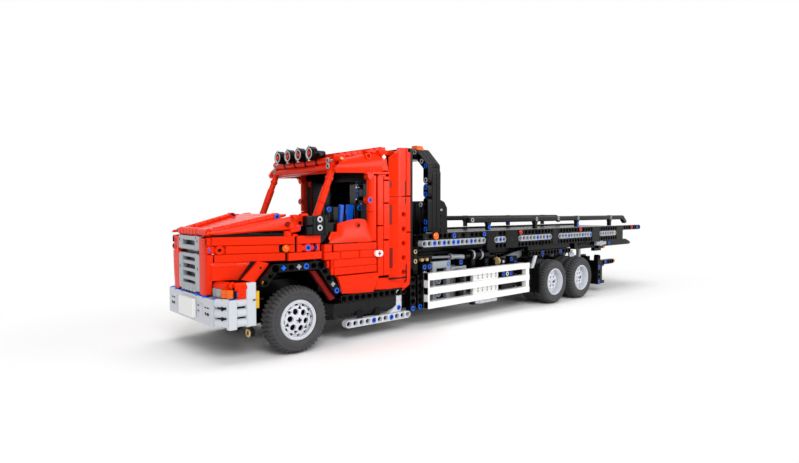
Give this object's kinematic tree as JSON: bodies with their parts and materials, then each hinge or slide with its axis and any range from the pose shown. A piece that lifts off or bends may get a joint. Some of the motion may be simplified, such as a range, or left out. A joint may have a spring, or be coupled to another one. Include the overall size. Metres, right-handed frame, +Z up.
{
  "type": "flatbed tow truck model",
  "caption": "Red bonneted flatbed tow truck model built of studless beams, with a tilting, sliding bed, steering, opening doors and twin rear wheels.",
  "frame": {"origin": "middle of the bounding box's base, on the ground under the truck", "axes": "+X points to the rear of the truck, +Y to its right side, +Z up"},
  "size_m": [0.7836, 0.1678, 0.2064],
  "materials": {
    "red_panel": "gloss",
    "grey_beam": "gloss",
    "white_beam": "gloss",
    "black_beam": "gloss",
    "dark_panel": "gloss",
    "tyre_rubber": "matte",
    "lamp_clear": "gloss",
    "orange_lamp": "gloss"
  },
  "bodies": {
    "chassis": {"chassis_frame": "black_beam", "front_axle": "black_beam", "rear_axles": "black_beam", "engine": "dark_panel", "sill_beams": "grey_beam", "side_tanks": "dark_panel", "side_bars": "white_beam", "bar_posts": "grey_beam", "side_lockers": "grey_beam", "mudflaps": "black_beam", "underrun": "black_beam", "cab_floor": "black_beam", "cab_corners": "red_panel", "cab_rear": "red_panel", "cab_roof": "red_panel", "windscreen_frame": "red_panel", "cowl": "red_panel", "dashboard": "black_beam", "seats": "black_beam", "grille": "grey_beam", "grille_columns": "red_panel", "hood_sides": "red_panel", "hood_top": "red_panel", "front_fenders": "red_panel", "arch_beams": "black_beam", "headlamps": "lamp_clear", "bumper": "grey_beam", "number_plate": "white_beam", "roof_lamps": "grey_beam", "mirror_brackets": "black_beam"},
    "door_left": {"door_left": "red_panel"},
    "door_right": {"door_right": "red_panel"},
    "knuckle_left": {"knuckle_left": "black_beam"},
    "knuckle_right": {"knuckle_right": "black_beam"},
    "front_wheel_left": {"front_tyre_left": "tyre_rubber", "front_rim_left": "grey_beam"},
    "front_wheel_right": {"front_tyre_right": "tyre_rubber", "front_rim_right": "grey_beam"},
    "rear_wheels_1_left": {"rear_tyres_1_left": "tyre_rubber", "rear_rims_1_left": "grey_beam"},
    "rear_wheels_1_right": {"rear_tyres_1_right": "tyre_rubber", "rear_rims_1_right": "grey_beam"},
    "rear_wheels_2_left": {"rear_tyres_2_left": "tyre_rubber", "rear_rims_2_left": "grey_beam"},
    "rear_wheels_2_right": {"rear_tyres_2_right": "tyre_rubber", "rear_rims_2_right": "grey_beam"},
    "subframe": {"subframe": "black_beam"},
    "bed": {"bed_frame": "black_beam", "bed_deck": "dark_panel", "bed_side_beams": "grey_beam", "bed_side_rows": "black_beam", "bed_rails": "black_beam", "headboard": "black_beam", "beacon_bar": "orange_lamp", "winch_frame": "black_beam"},
    "winch_drum": {"winch_drum": "black_beam"},
    "tilt_cylinder": {"tilt_cylinder": "grey_beam"},
    "tilt_rod": {"tilt_rod": "grey_beam"}
  },
  "joints": [
    {"name": "door_left_swing", "type": "hinge", "parent": "chassis", "child": "door_left", "pos_m": [-0.2798, -0.0646, 0.0944], "axis": [0, 0, -1], "range_deg": [0, 60]},
    {"name": "steer_left", "type": "hinge", "parent": "chassis", "child": "knuckle_left", "pos_m": [-0.3154, -0.0496, 0.0312], "axis": [0, 0, 1], "range_deg": [-20, 20]},
    {"name": "front_wheel_left_spin", "type": "hinge", "parent": "knuckle_left", "child": "front_wheel_left", "pos_m": [-0.3154, -0.0648, 0.0312], "axis": [0, 1, 0], "continuous": true},
    {"name": "rear_wheels_1_left_spin", "type": "hinge", "parent": "chassis", "child": "rear_wheels_1_left", "pos_m": [0.0934, -0.0628, 0.0312], "axis": [0, 1, 0], "continuous": true},
    {"name": "rear_wheels_2_left_spin", "type": "hinge", "parent": "chassis", "child": "rear_wheels_2_left", "pos_m": [0.1646, -0.0628, 0.0312], "axis": [0, 1, 0], "continuous": true},
    {"name": "door_right_swing", "type": "hinge", "parent": "chassis", "child": "door_right", "pos_m": [-0.2798, 0.0646, 0.0944], "axis": [0, 0, 1], "range_deg": [0, 60]},
    {"name": "steer_right", "type": "hinge", "parent": "chassis", "child": "knuckle_right", "pos_m": [-0.3154, 0.0496, 0.0312], "axis": [0, 0, 1], "range_deg": [-20, 20]},
    {"name": "front_wheel_right_spin", "type": "hinge", "parent": "knuckle_right", "child": "front_wheel_right", "pos_m": [-0.3154, 0.0648, 0.0312], "axis": [0, 1, 0], "continuous": true},
    {"name": "rear_wheels_1_right_spin", "type": "hinge", "parent": "chassis", "child": "rear_wheels_1_right", "pos_m": [0.0934, 0.0628, 0.0312], "axis": [0, 1, 0], "continuous": true},
    {"name": "rear_wheels_2_right_spin", "type": "hinge", "parent": "chassis", "child": "rear_wheels_2_right", "pos_m": [0.1646, 0.0628, 0.0312], "axis": [0, 1, 0], "continuous": true},
    {"name": "subframe_tilt", "type": "hinge", "parent": "chassis", "child": "subframe", "pos_m": [0.1806, 0, 0.0736], "axis": [0, 1, 0], "range_deg": [0, 10.5]},
    {"name": "bed_slide", "type": "slide", "parent": "subframe", "child": "bed", "axis": [1, 0, 0], "range_m": [0, 0.208]},
    {"name": "winch_spin", "type": "hinge", "parent": "bed", "child": "winch_drum", "pos_m": [-0.1138, 0, 0.1168], "axis": [0, 1, 0], "continuous": true},
    {"name": "tilt_cylinder_swing", "type": "hinge", "parent": "chassis", "child": "tilt_cylinder", "pos_m": [-0.0274, 0, 0.052], "axis": [0, -1, 0], "range_deg": [0, 11]},
    {"name": "tilt_rod_extend", "type": "slide", "parent": "tilt_cylinder", "child": "tilt_rod", "axis": [0.9846, 0, 0.1747], "range_m": [0, 0.009]}
  ],
  "couplings": [
    {"joint": "steer_right", "follows": "steer_left", "ratio": 1},
    {"joint": "tilt_cylinder_swing", "follows": "subframe_tilt", "ratio": 0.994},
    {"joint": "tilt_rod_extend", "follows": "subframe_tilt", "m_per_rad": 0.0345}
  ]
}
